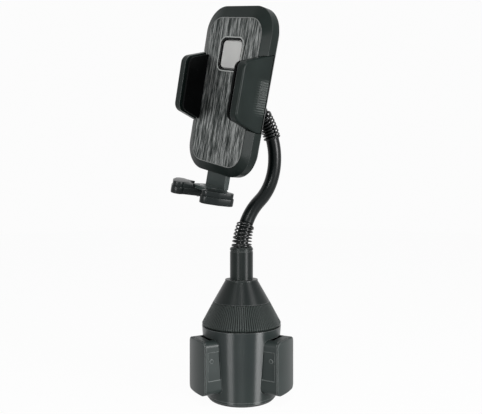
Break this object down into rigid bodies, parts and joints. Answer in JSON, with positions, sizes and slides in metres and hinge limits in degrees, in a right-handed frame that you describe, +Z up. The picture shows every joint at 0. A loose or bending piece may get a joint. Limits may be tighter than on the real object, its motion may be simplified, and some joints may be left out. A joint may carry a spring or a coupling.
{
  "type": "cup-holder phone mount",
  "caption": "Phone mount for a car cup holder: expanding base, flexible neck, ball joint and a clamping head with fold-out feet.",
  "frame": {"origin": "middle of the base's underside, the plane it stands on", "axes": "+Z up along the base's axis, -Y the way the phone's face looks, +X to the right seen from behind the phone"},
  "size_m": [0.112, 0.1025, 0.3542],
  "materials": {
    "body_plastic": "satin",
    "ring_plastic": "matte",
    "head_plastic": "satin",
    "panel_skin": "brushed lengthwise",
    "inner_plastic": "matte",
    "bezel_gloss": "gloss",
    "button_plastic": "satin",
    "rubber": "matte",
    "pad_rubber": "matte",
    "neck_sleeve": "gloss",
    "spring_steel": "gloss black",
    "spring_bare": "bare",
    "screw_steel": "zinc",
    "stud_steel": "black"
  },
  "bodies": {
    "base": {"base_body": "body_plastic", "base_bottom_cover": "body_plastic", "base_foot_pad": "rubber", "bottom_screws": "screw_steel", "center_column": "body_plastic", "column_nut": "screw_steel", "top_cone": "body_plastic", "neck_ferrule": "body_plastic", "neck_root": "neck_sleeve", "lower_spring": "spring_steel"},
    "ring": {"adjuster_ring": "ring_plastic", "cam_plate": "inner_plastic"},
    "wing_1": {"wing_frame_1": "body_plastic", "wing_pad_1": "rubber"},
    "wing_2": {"wing_frame_2": "body_plastic", "wing_pad_2": "rubber"},
    "wing_3": {"wing_frame_3": "body_plastic", "wing_pad_3": "rubber"},
    "link_1": {"neck_segment_1": "neck_sleeve"},
    "link_2": {"neck_segment_2": "neck_sleeve"},
    "link_3": {"neck_segment_3": "neck_sleeve"},
    "link_4": {"neck_segment_4": "neck_sleeve"},
    "link_5": {"neck_segment_5": "neck_sleeve"},
    "link_6": {"neck_segment_6": "neck_sleeve", "upper_spring": "spring_steel", "ball_stud": "stud_steel"},
    "ball_cup": {"ball_liner": "inner_plastic"},
    "ball_ring": {"ball_nut": "ring_plastic"},
    "head": {"front_shell": "head_plastic", "rear_shell": "head_plastic", "head_screws": "screw_steel", "face_panel": "panel_skin", "button_bezel": "bezel_gloss", "button_spring": "spring_bare", "gear_spring": "spring_bare"},
    "right_clamp": {"right_arm": "head_plastic", "right_arm_pad": "pad_rubber"},
    "left_clamp": {"left_arm": "head_plastic", "left_arm_pad": "pad_rubber"},
    "gear": {"arm_gear": "inner_plastic"},
    "button": {"release_button": "button_plastic"},
    "catch": {"latch_pawl": "inner_plastic"},
    "stem": {"foot_stem": "head_plastic", "foot_bracket": "head_plastic", "foot_pins": "screw_steel"},
    "foot_left": {"left_foot": "head_plastic", "left_foot_pad": "pad_rubber"},
    "foot_right": {"right_foot": "head_plastic", "right_foot_pad": "pad_rubber"}
  },
  "joints": [
    {"name": "ring_turn", "type": "hinge", "parent": "base", "child": "ring", "pos_m": [0, 0, 0.07], "axis": [0, 0, 1], "range_deg": [-81.8, 18.1]},
    {"name": "wing_1_slide", "type": "slide", "parent": "base", "child": "wing_1", "axis": [0.9659, 0.2588, 0], "range_m": [-0.009, 0.002]},
    {"name": "wing_2_slide", "type": "slide", "parent": "base", "child": "wing_2", "axis": [-0.7071, 0.7071, 0], "range_m": [-0.009, 0.002]},
    {"name": "wing_3_slide", "type": "slide", "parent": "base", "child": "wing_3", "axis": [-0.2588, -0.9659, 0], "range_m": [-0.009, 0.002]},
    {"name": "neck_bend_1", "type": "hinge", "parent": "base", "child": "link_1", "pos_m": [0, 0.00739, 0.16081], "axis": [1, 0, 0], "range_deg": [-12, 12]},
    {"name": "neck_sway_1", "type": "hinge", "parent": "link_1", "child": "link_2", "pos_m": [0, 0.0172, 0.17338], "axis": [0, -0.6929, 0.7211], "range_deg": [-12, 12]},
    {"name": "neck_bend_2", "type": "hinge", "parent": "link_2", "child": "link_3", "pos_m": [0, 0.02951, 0.18359], "axis": [1, 0, 0], "range_deg": [-12, 12]},
    {"name": "neck_sway_2", "type": "hinge", "parent": "link_3", "child": "link_4", "pos_m": [0, 0.03936, 0.19611], "axis": [0, -0.8727, 0.4882], "range_deg": [-12, 12]},
    {"name": "neck_bend_3", "type": "hinge", "parent": "link_4", "child": "link_5", "pos_m": [0, 0.04487, 0.21107], "axis": [1, 0, 0], "range_deg": [-12, 12]},
    {"name": "neck_sway_3", "type": "hinge", "parent": "link_5", "child": "link_6", "pos_m": [0, 0.0455, 0.22699], "axis": [0, -0.9931, -0.1172], "range_deg": [-12, 12]},
    {"name": "ball_tilt", "type": "hinge", "parent": "link_6", "child": "ball_cup", "pos_m": [0, 0.00941, 0.27303], "axis": [0.9699, 0, -0.2436], "range_deg": [-40, 8]},
    {"name": "ball_pan", "type": "hinge", "parent": "ball_cup", "child": "ball_ring", "pos_m": [0, 0.00941, 0.27303], "axis": [0.2436, 0, 0.9699], "range_deg": [-18, 18]},
    {"name": "head_spin", "type": "hinge", "parent": "ball_ring", "child": "head", "pos_m": [0, 0.00941, 0.27303], "axis": [0, 1, 0], "continuous": true},
    {"name": "right_arm_slide", "type": "slide", "parent": "head", "child": "right_clamp", "axis": [0.9699, 0, -0.2436], "range_m": [0, 0.018]},
    {"name": "left_arm_slide", "type": "slide", "parent": "head", "child": "left_clamp", "axis": [-0.9699, 0, 0.2436], "range_m": [0, 0.018]},
    {"name": "arm_gear_turn", "type": "hinge", "parent": "head", "child": "gear", "pos_m": [0.00146, -0.01249, 0.27885], "axis": [0, 1, 0], "range_deg": [0, 129]},
    {"name": "button_press", "type": "slide", "parent": "head", "child": "button", "axis": [0, 1, 0], "range_m": [0, 0.0016], "stiffness_N_per_m": 300, "springref_m": -0.003},
    {"name": "catch_lift", "type": "slide", "parent": "head", "child": "catch", "axis": [0.2436, 0, 0.9699], "range_m": [0, 0.0016]},
    {"name": "foot_height", "type": "slide", "parent": "head", "child": "stem", "axis": [0.2436, 0, 0.9699], "range_m": [-0.014, 0.01]},
    {"name": "left_foot_swing", "type": "hinge", "parent": "stem", "child": "foot_left", "pos_m": [-0.03027, -0.02339, 0.18783], "axis": [0.2436, 0, 0.9699], "range_deg": [-45, 25]},
    {"name": "right_foot_swing", "type": "hinge", "parent": "stem", "child": "foot_right", "pos_m": [-0.01358, -0.02339, 0.18364], "axis": [0.2436, 0, 0.9699], "range_deg": [-37, 31]}
  ],
  "couplings": [
    {"joint": "wing_1_slide", "follows": "ring_turn", "m_per_rad": 0.0063025},
    {"joint": "wing_2_slide", "follows": "ring_turn", "m_per_rad": 0.0063025},
    {"joint": "wing_3_slide", "follows": "ring_turn", "m_per_rad": 0.0063025},
    {"joint": "neck_bend_2", "follows": "neck_bend_1", "ratio": 1},
    {"joint": "neck_bend_3", "follows": "neck_bend_1", "ratio": 1},
    {"joint": "neck_sway_2", "follows": "neck_sway_1", "ratio": 1},
    {"joint": "neck_sway_3", "follows": "neck_sway_1", "ratio": 1},
    {"joint": "left_arm_slide", "follows": "right_arm_slide", "ratio": 1},
    {"joint": "arm_gear_turn", "follows": "right_arm_slide", "rad_per_m": 125},
    {"joint": "catch_lift", "follows": "button_press", "ratio": 1}
  ]
}
